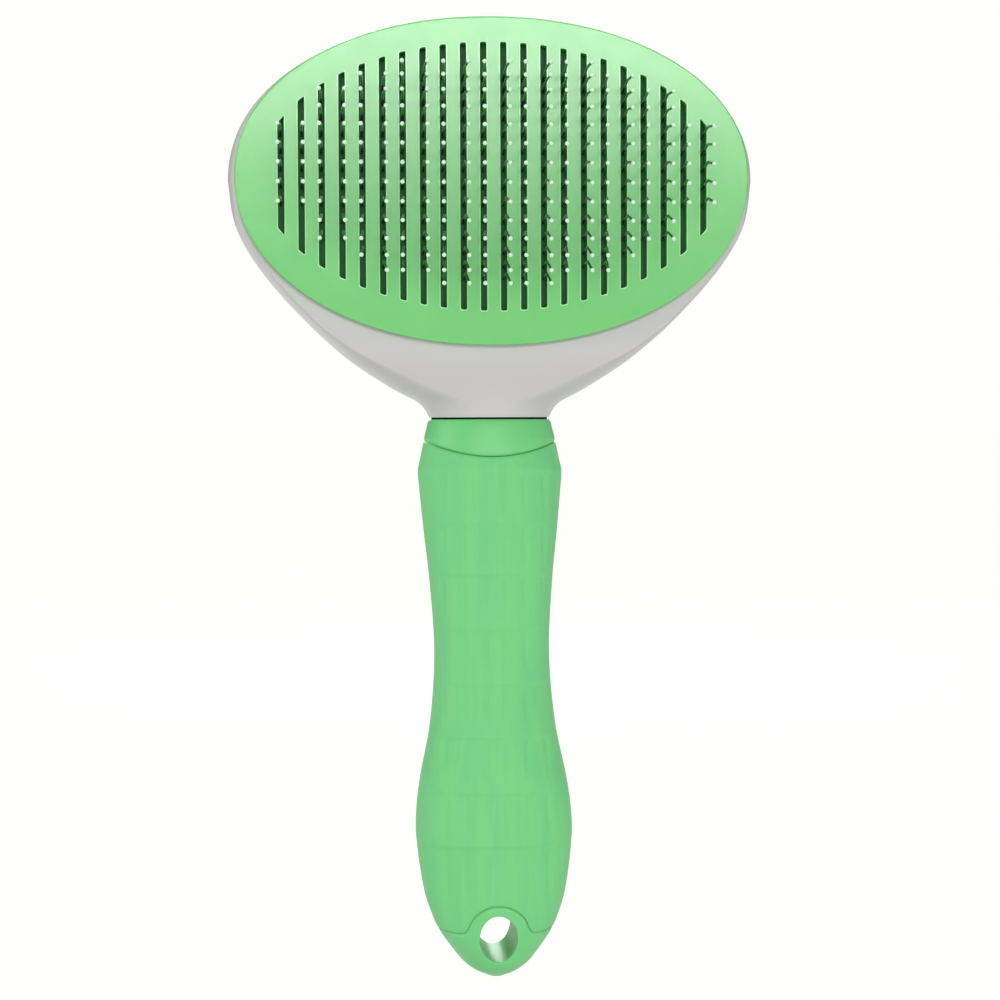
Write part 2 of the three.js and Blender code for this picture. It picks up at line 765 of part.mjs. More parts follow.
function gripSleeve() {
  const steps = BANDS.flatMap((z) => [z + BAND_LIP / 2, z - BAND_LIP / 2]);
  const middles = BANDS.map((z, i) => (z + (BANDS[i + 1] ?? TAIL_TOP + 8)) / 2);
  const ends = [5.7, 8.5, 11.2, 14, 16.7, SEAM.middle, SEAM.sides];
  const heights = [...ends, ...middles, ...steps].sort((a, b) => a - b);
  const skin = solid(handleBody(HANDLE, heights, 0, 28, bandStep));
  const inside = solid(handleBody(HANDLE, ROD_HEIGHTS, SLEEVE_WALL, 20));
  return geometryOf(
    skin.subtract(inside).subtract(aboveSeam(0)).subtract(tailRegion(GAP)),
  );
}

// ---- Assembly ----

addPiece('rear_shell', rearShell(), WHITE);
addPiece('handle_core', handleCore(), GREEN_SATIN);
addPiece('grip_sleeve', gripSleeve(), GREEN_RUBBER);
addPiece('pin_bed', pinBed(), DARK_GREEN);
addPiece('backing_plate', backingPlate(), DARK_GREEN);
for (let column = 0; column < SLOT.count; column += 1) {
  addPiece(`pin_row_${String(column + 1).padStart(2, '0')}`, pinRow(column), STEEL);
}
bedScrewPlaces().forEach(([x, z], i) => {
  addPiece(`bed_screw_${i + 1}`, screw(BED_SCREW, x, BED.front + GAP / 2, z, 1), STEEL);
});
addPiece('front_plate', frontPlate(), GREEN_GLOSS);
addPiece('pusher_frame', pusherFrame(), DARK_GREEN);
addPiece('push_button', pushButton(), GREEN_GLOSS);
['left', 'right'].forEach((name, i) => {
  const side = i === 0 ? -1 : 1;
  const headY = ARM_BACK + GAP + POST_SCREW.headH;
  addPiece(`post_screw_${name}`, screw(POST_SCREW, side * POST.x, headY, FIELD.z, -1), STEEL);
  addPiece(`return_spring_${name}`, returnSpring(side), STEEL);
});
BUTTON_SCREW.zs.forEach((z, i) => {
  const headY = PUSHER.front - GAP - BUTTON_SCREW.headH;
  addPiece(`button_screw_${i + 1}`, screw(BUTTON_SCREW, 0, headY, z, 1), STEEL);
});

export default brush;
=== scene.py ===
"""A self-cleaning slicker brush: an oval head with rows of bent, ball-tipped wire pins standing
through a slotted plate, a button on its back, and a rubber-sleeved handle with a hanging hole.

Shapes are worked out in millimetres, with depths (Y) from the axis of the neck, and become
metres in the row frame as each piece is finished. X runs across the brush, Z up the handle, and
-Y is the side that the pins point to.
"""

import math

import bmesh
import bpy
from mathutils import Matrix, Vector
from mathutils.geometry import tessellate_polygon


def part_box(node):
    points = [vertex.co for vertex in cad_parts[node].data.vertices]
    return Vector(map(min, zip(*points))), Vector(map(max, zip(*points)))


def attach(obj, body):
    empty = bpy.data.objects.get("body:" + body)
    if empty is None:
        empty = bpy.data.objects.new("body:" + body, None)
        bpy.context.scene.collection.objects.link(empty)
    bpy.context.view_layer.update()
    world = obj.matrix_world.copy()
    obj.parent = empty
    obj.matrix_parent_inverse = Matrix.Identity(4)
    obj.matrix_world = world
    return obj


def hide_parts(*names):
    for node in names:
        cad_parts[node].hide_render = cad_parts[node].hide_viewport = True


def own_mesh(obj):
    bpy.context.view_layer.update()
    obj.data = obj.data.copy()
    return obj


MM = 0.001
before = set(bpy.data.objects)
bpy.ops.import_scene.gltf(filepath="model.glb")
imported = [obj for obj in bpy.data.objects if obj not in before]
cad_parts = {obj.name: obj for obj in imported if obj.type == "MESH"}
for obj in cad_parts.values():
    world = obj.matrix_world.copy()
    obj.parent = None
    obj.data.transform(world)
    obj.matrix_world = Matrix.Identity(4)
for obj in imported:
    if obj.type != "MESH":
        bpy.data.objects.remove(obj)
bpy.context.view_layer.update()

# ---- Driving dimensions, in millimetres ----

PLATE_FRONT = -15
AXIS_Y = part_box("front_plate")[0].y / MM - PLATE_FRONT  # the neck's axis in the row frame

HEAD_Z = 158.9  # where the plate's egg-shaped outline is widest
PLATE = {"half_width": 50.75, "above": 31.1, "below": 33.4, "power": 2.08}
PLATE_THICK = 2
FLANGE_BACK = -13.25
RIM_ROUND = 0.35
SKIRT = {"inset": 1.8, "wall": 1.2, "back": -4.5}

# The lip is a slot's rounded edge. The edge is the narrow flat ring round it, in the plate's face,
# painted paler as a highlight.
SLOT = {"count": 22, "pitch": 3.968, "width": 1.18, "lip": 0.1, "edge": 0.12, "corner": 0.3}
FIELD = {"z": 158.6, "half_width": 45.8, "half_height": 26.3}  # the oval that ends the slots

SHELL = {"half_width": 52.3, "top": 190.9, "wide_z": 158.2, "power": 2.1}
RIM_FRONT = -13.1
SHELL_WIDEST = -6.5
SHELL_BACK = 9.5
SHELL_WALL = 2
SHELL_CORNER = {"power": 4, "round": 1.5}  # of the head's section
NECK_Z = 111.3
NECK = {"half_depth": 10.3, "power": 2.3, "round": 10}
CURVE_Z = NECK_Z + 4  # the handle curves below this, and the head swells above it
HEAD_FROM = {"section": 127, "round": 130, "widest": 156}  # heights where the neck's shape has gone
SHOULDER_Z = 120  # the shell's sections stand closer below this
BORE = {"gap": 0.4, "past": 2, "back": -5}  # the room in the shell for the plate's skirt
DOME = {"half_width": 50.2, "half_height": 31, "power": 4}  # the hollow behind the bore
DOME_YS = [-6, -2, 1, 3.5, 5.3, 6.6, 7.3]
TANG = {"half_width": 7.3, "half_depth": 5.8, "power": 4, "low": 90, "overlap": 2}

BED = {"front": -12.4, "back": -10, "inset": 3.5, "half_width": 42.8}
BED_EDGE = [(0, 0.4), (0.1, 0.15), (0.4, 0)]  # back from the bed's front, in from its side
CROWN_Y = -9.55

PIN_COUNTS = [5, 5, 9, 9, 11, 12, 13, 13, 14, 14, 14]  # per row, from the side to the middle
PIN = {"levels": 14, "reach": 10.5, "knee": 5}
TIPS = {"middle": 158.3, "half": 24.4, "crowding": 0.39}  # the tips crowd towards a row's ends
WIRE_R = 0.25
WIRE_SIDES = 10
STAPLE = {"round": 0.9, "hook": 1.5}
BEAD_R = 0.43
LEAN_X = [0.05, 0.08, 0.45]  # at crown, knee and tip; neighbouring rows lean opposite ways
LOWER_LEAN = {"middle": 0.14, "per_mm": 0.0031}  # rise per mm of lower leg, more up the head
UPPER_LEAN = {"middle": -0.19, "per_mm": 0.0116}

BUTTON = {"z": 150, "half_width": 13.5, "half_height": 15.5, "power": 2.4, "top": 16, "low": 6.6}
CROWN = {"height": 4.6, "inset": 9, "power": 1.15}  # the button's rounded top
BUTTON_COUNT = 120  # points round the button and its bezel
BEZEL = {"margin": 3.2, "back": 10.6, "gap": 0.4, "round": 1}
OPENING = {"front": 2, "past": 5}
SPRING = {"x": 19.5, "coil_r": 2.15, "wire_r": 0.25, "turns": 5, "front": -7.45, "back": 3.75}

BEND = 12.5  # how far forward the handle's end curves
BEND_POWER = 1.3
HANDLE_POWER = 2.2  # of the handle's oval sections
COLLAR_TOP = 110.88
HOLE = {"z": 8.65, "half_width": 3.75, "half_height": 4.6, "round": 0.4, "past": 3}
ARCH = {"half_width": 6.2, "top": 15.15, "foot": 5.7, "end": 7.4}  # plastic above the hanging hole
TAIL_TOP = 9.5
LIP = {"middle": 103.4, "sides": 106.2, "half_width": 13}  # the sleeve's upper edge
GROOVE = {"depth": 0.3, "reach": 0.32, "fade": 0.7, "fade_from": 0.85}  # soft-edged, at each seam
SEAM_GAP = 0.12
NECK_SHADOW_RING = {"inset": 0.3, "bore": 3}  # a dark ring between collar and neck, a painted shadow in the groove there
SLEEVE_WALL = 2.2
# Runs of sections up the sleeve as (low, high, count), close where it has seams and bands.
SLEEVE_RUNS = [(2, 8, 12), (8.2, 16, 53), (16.4, 101, 213), (101.4, 108, 45)]
ROD = {"low": 5, "top": 110, "gap": 0.3, "sections": 30}  # the handle's core inside the sleeve
SKIN_COUNT = 300  # points round the handle's outside
ROD_COUNT = 64
BANDS = [100.2, 89.8, 79.5, 68.9, 58.1, 47.6, 37, 26.4]  # steps round the grip
BAND_TOP = 106.4
BAND_STEP = 0.3
BAND_SOFT = 0.6
BAND_FADE = (0.7, 0.98)  # the bands flatten out between these shares of the half width
FLUTE = {"pitch": 4.1, "width": 0.45, "depth": 0.3}
FLUTE_FOOT = (0.1, 0.65)  # shares of a band's height where its flutes fade in
FLUTE_HEAD = (0.88, 0.99)  # and out

# Handle sections: height, half width, half depth.
HANDLE = [
    (0, 1.6, 2.4), (1.3, 4.4, 5.6), (3, 6.7, 7.6), (5.7, 8.95, 9.2), (8.5, 11, 9.9),
    (11.2, 12.4, 10.3), (16.7, 14.2, 10.8), (27.5, 15.7, 11.8), (33.3, 15.55, 12.2),
    (38.8, 14.8, 12.2), (49.9, 12.65, 10.9), (63.9, 11.65, 10), (77.9, 12.45, 10.6),
    (89.2, 13.65, 11.3), (97, 14.4, 11.6), (100.6, 14.65, 11.6), (103, 14.15, 11.4),
    (106.2, 13.5, 11.1),
]
COLLAR = [
    (102, 13.7, 11.1), (106.4, 13.3, 10.95), (107.2, 13.3, 10.9), (109, 12.85, 10.65),
    (110.4, 12.5, 10.3), (COLLAR_TOP, 12.1, 10),
]
# Half width of the shell's silhouette from the neck up to the widest line.
SHELL_SIDE = [
    (NECK_Z, 12.25), (111.9, 12.55), (112.8, 13), (114, 14), (114.8, 15.1), (116, 17.5), (118, 21),
    (122.7, 28.1), (127.4, 33.6), (132.1, 38.4), (136.8, 42.75), (141.5, 46.5), (146.2, 49.45),
    (150.9, 51.3), (SHELL["wide_z"], SHELL["half_width"]),
]


# ---- Shape helpers ----

def lerp(a, b, t):
    return a + (b - a) * t


def smoothstep(x, low, high):
    t = min(max((x - low) / (high - low), 0), 1)
    return t * t * (3 - 2 * t)


def spread(low, high, count):
    """Evenly spaced values from low to high."""
    return [lerp(low, high, i / (count - 1)) for i in range(count)]


def sample(rows, t, column=1):
    """A smooth value at t through rows of (t, value, ...)."""
    i = 0
    while i < len(rows) - 2 and t > rows[i + 1][0]:
        i += 1

    def slope(k):
        a, b = rows[max(k - 1, 0)], rows[min(k + 1, len(rows) - 1)]
        return (b[column] - a[column]) / (b[0] - a[0])

    low, high = rows[i], rows[i + 1]
    span = high[0] - low[0]
    u = min(max((t - low[0]) / span, 0), 1)
    return (
        (2 * u**3 - 3 * u**2 + 1) * low[column]
        + (u**3 - 2 * u**2 + u) * span * slope(i)
        + (3 * u**2 - 2 * u**3) * high[column]
        + (u**3 - u**2) * span * slope(i + 1)
    )


def oval(half_width, above, power, angle, below=None):
    """A point of an oval whose corners fill out as its power grows past 2."""
    c, s = math.cos(angle), math.sin(angle)
    half_height = above if s > 0 or below is None else below
    return (
        half_width * math.copysign(abs(c) ** (2 / power), c),
        half_height * math.copysign(abs(s) ** (2 / power), s),
    )


def oval_ring(count, half_width, above, power, below=None):
    return [
        oval(half_width, above, power, 2 * math.pi * i / count, below) for i in range(count)
    ]


def plate_ring(inset, count=224):
    points = oval_ring(
        count,
        PLATE["half_width"] - inset,
        PLATE["above"] - inset,
        PLATE["power"],
        PLATE["below"] - inset,
    )
    return [(x, HEAD_Z + z) for x, z in points]


# ---- Mesh helpers ----

def new_object(name, bm):
    """An object from a bmesh in millimetres, its faces turned outwards."""
    bmesh.ops.remove_doubles(bm, verts=bm.verts, dist=1e-4)
    bmesh.ops.recalc_face_normals(bm, faces=bm.faces)
    mesh = bpy.data.meshes.new(name)
    bm.to_mesh(mesh)
    bm.free()
    obj = bpy.data.objects.new(name, mesh)
    bpy.context.scene.collection.objects.link(obj)
    return obj


def bridge(bm, rings, closed=True):
    """Faces between neighbouring rings of bmesh vertices."""
    for low, high in zip(rings, rings[1:]):
        count = len(low)
        for i in range(count if closed else count - 1):
            j = (i + 1) % count
            bm.faces.new((low[i], low[j], high[j], high[i]))


def fan(bm, ring):
    """Closes a ring with triangles round its middle."""
    hub = bm.verts.new(sum((v.co for v in ring), Vector()) / len(ring))
    for i, v in enumerate(ring):
        bm.faces.new((v, ring[(i + 1) % len(ring)], hub))


def add_loft(bm, rings):
    made = [[bm.verts.new(p) for p in ring] for ring in rings]
    bridge(bm, made)
    fan(bm, made[0])
    fan(bm, made[-1])


def loft(name, rings):
    bm = bmesh.new()
    add_loft(bm, rings)
    return new_object(name, bm)


def prism(name, outline, front, back):
    """A flat outline of (x, z) extruded along Y."""
    return loft(name, [[(x, y, z) for x, z in outline] for y in (front, back)])


def oval_prism(name, z, half_width, half_height, power, front, back, count):
    ring = oval_ring(count, half_width, half_height, power)
    return prism(name, [(x, z + dz) for x, dz in ring], front, back)


def combine(obj, tools, operation):
    """Cuts or joins obj with each tool in turn, and removes the tools."""
    for tool in tools:
        modifier = obj.modifiers.new("solid", "BOOLEAN")
        modifier.operation = operation
        modifier.solver = "EXACT"
        modifier.object = tool
        graph = bpy.context.evaluated_depsgraph_get()
        mesh = bpy.data.meshes.new_from_object(obj.evaluated_get(graph))
        obj.modifiers.clear()
        obj.data = mesh
        bpy.data.objects.remove(tool)
    return obj


def round_corners(points, radius, steps):
    """A path whose inner corners are replaced by arcs."""
    points = [Vector(p) for p in points]
    path = [points[0]]
    for before, corner, after in zip(points, points[1:], points[2:]):
        a, b = (before - corner).normalized(), (after - corner).normalized()
        half = a.angle(b) / 2
        reach = min(
            radius / math.tan(half),
            (before - corner).length * 0.45,
            (after - corner).length * 0.45,
        )
        for i in range(steps + 1):
            t = i / steps
            path.append(
                (corner + a * reach) * (1 - t) ** 2
                + corner * 2 * t * (1 - t)
                + (corner + b * reach) * t**2
            )
    path.append(points[-1])
    return path


def add_tube(bm, path, radius, sides):
    """A closed tube of round section along a path."""
    tangents = []
    for i in range(len(path)):
        ahead, behind = path[min(i + 1, len(path) - 1)], path[max(i - 1, 0)]
        tangents.append((ahead - behind).normalized())
    normal = tangents[0].orthogonal().normalized()
    rings = []
    for centre, tangent in zip(path, tangents):
        normal = (normal - tangent * normal.dot(tangent)).normalized()
        side = tangent.cross(normal)
        rings.append(
            [
                centre
                + normal * radius * math.cos(2 * math.pi * i / sides)
                + side * radius * math.sin(2 * math.pi * i / sides)
                for i in range(sides)
            ]
        )
    add_loft(bm, rings)


def finish_piece(obj, material, body, replaced=(), crease=35, more_materials=()):
    """Takes a piece from millimetres to the row frame, and gives it its finish and its body."""
    to_frame = Matrix.Scale(MM, 4) @ Matrix.Translation((0, AXIS_Y, 0))
    obj.data.transform(to_frame)
    for finish in (material, *more_materials):
        obj.data.materials.append(finish)
    obj.data.shade_smooth()
    obj.data.set_sharp_from_angle(angle=math.radians(crease))
    normals = obj.modifiers.new("even_shading", "WEIGHTED_NORMAL")
    normals.keep_sharp = True
    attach(obj, body)
    if replaced:
        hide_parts(*replaced)


# ---- Materials ----

def node(tree, kind, **inputs):
    made = tree.nodes.new(kind)
    for name, value in inputs.items():
        made.inputs[name.replace("_", " ")].default_value = value
    return made


def new_material(name):
    material = bpy.data.materials.new(name)
    material.use_nodes = True
    tree = material.node_tree
    shader = tree.nodes["Principled BSDF"]
    place = tree.nodes.new("ShaderNodeTexCoord").outputs["Object"]
    return material, tree, shader, place


def noise(tree, place, scale, detail=3.0, roughness=0.5):
    made = node(tree, "ShaderNodeTexNoise", Scale=scale, Detail=detail, Roughness=roughness)
    tree.links.new(place, made.inputs["Vector"])
    return made.outputs["Fac"]


def remap(tree, value, low, high, start=0, end=1):
    """Turns a value that runs from start to end into one that runs from low to high."""
    made = tree.nodes.new("ShaderNodeMapRange")
    made.inputs["From Min"].default_value = start
    made.inputs["From Max"].default_value = end
    made.inputs["To Min"].default_value = low
    made.inputs["To Max"].default_value = high
    tree.links.new(value, made.inputs["Value"])
    return made.outputs["Result"]


def tint(tree, value, first, second):
    made = tree.nodes.new("ShaderNodeMix")
    made.data_type = "RGBA"
    made.inputs["A"].default_value = (*first, 1)
    made.inputs["B"].default_value = (*second, 1)
    tree.links.new(value, made.inputs["Factor"])
    return made.outputs["Result"]


def bump(tree, shader, height, distance):
    made = node(tree, "ShaderNodeBump", Strength=1.0, Distance=distance)
    tree.links.new(height, made.inputs["Height"])
    tree.links.new(made.outputs["Normal"], shader.inputs["Normal"])


def moulded_plastic(
    name, colour, roughness, grain=0.004, subsurface=0.0, variation=0.05, specular=0.5
):
    """Moulded plastic: faint cloudiness in its colour, uneven gloss and a very fine skin."""
    material, tree, shader, place = new_material(name)
    cloud = noise(tree, place, 90, 4)
    lighter = [c * (1 + variation) for c in colour]
    darker = [c * (1 - variation) for c in colour]
    tree.links.new(tint(tree, cloud, darker, lighter), shader.inputs["Base Color"])
    shader.inputs["Specular IOR Level"].default_value = specular
    gloss = noise(tree, place, 420, 2)
    spread_of_gloss = remap(tree, gloss, roughness - 0.05, roughness + 0.05)
    tree.links.new(spread_of_gloss, shader.inputs["Roughness"])
    bump(tree, shader, noise(tree, place, 2600, 2), grain * MM)
    shader.inputs["Subsurface Weight"].default_value = subsurface
    shader.inputs["Subsurface Radius"].default_value = (0.6, 1.0, 0.6)
    shader.inputs["Subsurface Scale"].default_value = 0.0012
    return material


def soft_rubber(name, colour):
    """Soft-touch rubber: matt, with a powdery sheen, faint upright streaks and a fine grain."""
    material, tree, shader, place = new_material(name)
    upright = node(tree, "ShaderNodeMapping", Scale=(1, 1, 0.1))
    tree.links.new(place, upright.inputs["Vector"])
    streaks = noise(tree, upright.outputs["Vector"], 260, 3, 0.6)
    streaked = remap(tree, streaks, 0, 1, 0.38, 0.62)
    worn = [c * share for c, share in zip(colour, (0.88, 0.95, 1.02))]
    tree.links.new(tint(tree, streaked, worn, colour), shader.inputs["Base Color"])
    grain = noise(tree, place, 3800, 3, 0.6)
    tree.links.new(remap(tree, grain, 0.52, 0.68), shader.inputs["Roughness"])
    bump(tree, shader, grain, 0.012 * MM)
    shader.inputs["Sheen Weight"].default_value = 0.12
    shader.inputs["Sheen Roughness"].default_value = 0.5
    return material


def wire_steel(name, dark, bright):
    """Drawn wire with fine uneven polish."""
    material, tree, shader, place = new_material(name)
    shader.inputs["Metallic"].default_value = 1.0
    polish = noise(tree, place, 1800, 3)
    tree.links.new(tint(tree, polish, dark, bright), shader.inputs["Base Color"])
    tree.links.new(remap(tree, polish, 0.2, 0.36), shader.inputs["Roughness"])
    return material


GREEN_GLOSS = moulded_plastic(
    "green_gloss_plastic", (0.155, 0.64, 0.16), 0.23, subsurface=0.1, specular=0.8
)
# The flat rings round the slots are painted a paler green than the rest of the plate: a painted
# highlight along the slots' edges. They are glossier too.
GREEN_PAINTED_HIGHLIGHT = moulded_plastic(
    "green_plastic_painted_highlight", (0.45, 0.9, 0.48), 0.15, subsurface=0.1, specular=0.9
)
GREEN_SATIN = moulded_plastic("green_satin_plastic", (0.165, 0.65, 0.215), 0.42, subsurface=0.1)
GREEN_RUBBER = soft_rubber("green_rubber", (0.17, 0.66, 0.215))
WHITE = moulded_plastic("white_plastic", (0.575, 0.565, 0.555), 0.3, variation=0.01)
# Green plastic painted near-black: painted shade for the pin bed and the inner parts deep behind
# the slotted plate.
DARK_GREEN_PAINTED_SHADE = moulded_plastic("dark_green_plastic", (0.006, 0.13, 0.02), 0.6, variation=0.15)
# Near-black and matt: the painted shadow in the groove between collar and neck.
NECK_PAINTED_SHADOW = moulded_plastic("neck_painted_shadow", (0.004, 0.02, 0.008), 0.9, specular=0.1)
BEAD = moulded_plastic("bead_resin", (0.7, 0.98, 0.73), 0.2, grain=0.001, variation=0.01)
STEEL = wire_steel("wire_steel", (0.42, 0.44, 0.45), (0.62, 0.64, 0.66))
# The pins' metal colour is painted dark green: a painted reflection of the green plate and of the
# dark behind the brush.
PIN_STEEL_PAINTED_REFLECTION = wire_steel("pin_steel_painted_reflection", (0.06, 0.13, 0.07), (0.12, 0.22, 0.13))


# ---- The slotted plate ----

def slot_x(column):
    return (column - (SLOT["count"] - 1) / 2) * SLOT["pitch"]


def slot_end(x):
    return FIELD["half_height"] * math.sqrt(1 - (x / FIELD["half_width"]) ** 2)


def slot_outline(column, grow):
    """A slot's outline, grown on all sides: its ends follow the oval, with softened corners."""
    left = slot_x(column) - SLOT["width"] / 2
    right = slot_x(column) + SLOT["width"] / 2
    corners = [
        Vector((left - grow, FIELD["z"] - slot_end(left) - grow)),
        Vector((right + grow, FIELD["z"] - slot_end(right) - grow)),
        Vector((right + grow, FIELD["z"] + slot_end(right) + grow)),
        Vector((left - grow, FIELD["z"] + slot_end(left) + grow)),
    ]
    outline = []
    for i, corner in enumerate(corners):
        reach = SLOT["corner"] + grow
        start = corner + (corners[i - 1] - corner).normalized() * reach
        end = corner + (corners[(i + 1) % 4] - corner).normalized() * reach
        for t in spread(0, 1, 5):
            outline.append(start * (1 - t) ** 2 + corner * 2 * t * (1 - t) + end * t**2)
    return outline


def add_face_with_slots(bm, outer, holes):
    """A flat face inside the outer ring, with a hole for each of the other rings."""
    rings = [outer, *holes]
    everything = [v for ring in rings for v in ring]
    flat = [[Vector((v.co.x, v.co.z, 0)) for v in ring] for ring in rings]
    for triangle in tessellate_polygon(flat):
        bm.faces.new([everything[i] for i in triangle])


def make_front_plate():
    bm = bmesh.new()
    arc = [math.radians(a) for a in range(0, 91, 9)]
    profile = [
        (PLATE_FRONT + RIM_ROUND * (1 - math.sin(a)), RIM_ROUND * (1 - math.cos(a)))
        for a in reversed(arc)
    ]
    web_back = PLATE_FRONT + PLATE_THICK
    skirt_inner = SKIRT["inset"] + SKIRT["wall"]
    profile += [
        (FLANGE_BACK, 0),
        (FLANGE_BACK, SKIRT["inset"]),
        (SKIRT["back"], SKIRT["inset"]),
        (SKIRT["back"], skirt_inner),
        (web_back, skirt_inner),
    ]
    rings = [[bm.verts.new((x, y, z)) for x, z in plate_ring(inset)] for y, inset in profile]
    bridge(bm, rings)
    mouths, backs = [], []
    lip = [
        (PLATE_FRONT + SLOT["lip"] * (1 - math.cos(a)), SLOT["lip"] * (1 - math.sin(a)))
        for a in spread(0, math.pi / 2, 5)
    ]
    lip.insert(0, (PLATE_FRONT, SLOT["lip"] + SLOT["edge"]))
    for column in range(SLOT["count"]):
        wall = [
            [bm.verts.new((x, y, z)) for x, z in slot_outline(column, grow)]
            for y, grow in [*lip, (web_back, 0)]
        ]
        first_face = len(bm.faces)
        bridge(bm, wall)
        bm.faces.ensure_lookup_table()
        for face in bm.faces[first_face : first_face + len(wall[0])]:
            face.material_index = 1  # the flat ring takes the paler green, a painted highlight
        mouths.append(wall[0])
        backs.append(wall[-1])
    add_face_with_slots(bm, rings[0], mouths)
    add_face_with_slots(bm, rings[-1], backs)
    return new_object("slotted_plate", bm)


# ---- Pins and the bed that carries them ----

def pin_path(column, level):
    """Crown, knee and tip of one pin, from the level of its tip."""
    side = 1 if column % 2 else -1
    place = 1 - 2 * level / (PIN["levels"] - 1)
    tip_z = TIPS["middle"] + TIPS["half"] * (place - TIPS["crowding"] * place**3 / 3)
    up = tip_z - FIELD["z"]
    knee_y = PLATE_FRONT - PIN["knee"]
    tip_y = PLATE_FRONT - PIN["reach"] + BEAD_R
    knee_z = tip_z - (UPPER_LEAN["middle"] + UPPER_LEAN["per_mm"] * up) * (knee_y - tip_y)
    crown_z = knee_z - (LOWER_LEAN["middle"] + LOWER_LEAN["per_mm"] * up) * (CROWN_Y - knee_y)

    corners = [(CROWN_Y, crown_z), (knee_y, knee_z), (tip_y, tip_z)]
    return [
        Vector((slot_x(column) + side * lean, y, z)) for lean, (y, z) in zip(LEAN_X, corners)
    ]


def row_paths(column):
    count = PIN_COUNTS[min(column, SLOT["count"] - 1 - column)]
    first = (PIN["levels"] - count) // 2
    return [pin_path(column, first + i) for i in range(count)]


def make_pin_row(column):
    """A row's wires. Each staple is one wire with two pins, and an odd pin has a short hook."""
    bm = bmesh.new()
    paths = row_paths(column)
    for first, second in zip(paths[::2], [*paths[1::2], None]):
        hook = first[0] + Vector((0, 0, -STAPLE["hook"]))
        rest = [hook] if second is None else second
        path = round_corners([*reversed(first), *rest], STAPLE["round"], 4)
        add_tube(bm, path, WIRE_R, WIRE_SIDES)
    row = new_object(f"pin_wires_{column + 1:02d}", bm)
    # the wires' dark green is a painted reflection
    finish_piece(row, PIN_STEEL_PAINTED_REFLECTION, "root", [f"pin_row_{column + 1:02d}"], 60)


def make_beads(column):
    bm = bmesh.new()
    for path in row_paths(column):
        place = Matrix.Translation(path[-1])
        bmesh.ops.create_uvsphere(bm, u_segments=16, v_segments=10, radius=BEAD_R, matrix=place)
    beads = new_object(f"pin_beads_{column + 1:02d}", bm)
    finish_piece(beads, BEAD, "root", (), 60)


def bed_outline(inset):
    limit = BED["half_width"]
    return [(min(max(x, -limit), limit), z) for x, z in plate_ring(inset)]


def make_pin_bed():
    layers = [(BED["front"] + back, BED["inset"] + inward) for back, inward in BED_EDGE]
    layers.append((BED["back"], BED["inset"]))
    rings = [[(x, y, z) for x, z in bed_outline(inset)] for y, inset in layers]
    return loft("pin_pad", rings)


# ---- The head's shell ----

def shell_half_section(spine_z, edge_x, edge_z):
    """One half section, from the front of the spine round the edge to the back of the spine."""
    share = smoothstep(spine_z, NECK_Z, HEAD_FROM["section"])
    reach = math.hypot(edge_x, edge_z - spine_z)
    widest = lerp(0, SHELL_WIDEST, smoothstep(spine_z, CURVE_Z, HEAD_FROM["widest"]))
    front = lerp(-NECK["half_depth"], RIM_FRONT, share)
    back = lerp(NECK["half_depth"], SHELL_BACK, share)
    back_power = lerp(NECK["power"], SHELL_CORNER["power"], share)
    sharper = smoothstep(spine_z, NECK_Z, HEAD_FROM["round"])
    rounding = min(lerp(NECK["round"], SHELL_CORNER["round"], sharper), reach)

    def place(r, y):
        return (edge_x * r / reach, y, spine_z + (edge_z - spine_z) * r / reach)

    points = [place(0, front)]
    for angle in spread(0, math.pi / 2, 9):
        points.append(
            place(
                reach - rounding * (1 - math.sin(angle)),
                widest + (front - widest) * math.cos(angle),
            )
        )
    for angle in spread(0, math.pi / 2, 25)[1:-1]:
        r, y = oval(reach, back - widest, back_power, angle)
        points.append(place(r, widest + y))
    points.append(place(0, back))
    return points


def shell_skin():
    low_zs = spread(NECK_Z, SHOULDER_Z, 22)[:-1] + spread(SHOULDER_Z, SHELL["wide_z"], 32)[:-1]
    lower = [(z, sample(SHELL_SIDE, z), z) for z in low_zs]
    upper = []
    for angle in spread(0, math.pi, 97):
        x, dz = oval(SHELL["half_width"], SHELL["top"] - SHELL["wide_z"], SHELL["power"], angle)
        upper.append((SHELL["wide_z"], x, SHELL["wide_z"] + dz))
    left = [(z, -half_width, edge_z) for z, half_width, edge_z in reversed(lower)]
    bm = bmesh.new()
    stations = [shell_half_section(*station) for station in [*lower, *upper, *left]]
    rings = [[bm.verts.new(p) for p in section] for section in stations]
    bridge(bm, rings, closed=False)
    fan(bm, [*rings[-1], *reversed(rings[0][1:-1])])
    return new_object("shell", bm)


def shell_hollow():
    """Cutters for the bore that holds the plate's skirt, and for the dome behind it."""
    outline = plate_ring(SKIRT["inset"] - BORE["gap"])
    bore = prism("bore", outline, RIM_FRONT - BORE["past"], BORE["back"])
    depth = SHELL_BACK - SHELL_WALL - SHELL_WIDEST
    rings = []
    for y in DOME_YS:
        scale = (1 - ((y - SHELL_WIDEST) / depth) ** DOME["power"]) ** (1 / DOME["power"])
        ring = oval_ring(
            96, DOME["half_width"] * scale, DOME["half_height"] * scale, SHELL["power"]
        )
        rings.append([(x, y, SHELL["wide_z"] + z) for x, z in ring])
    return [bore, loft("dome", rings)]


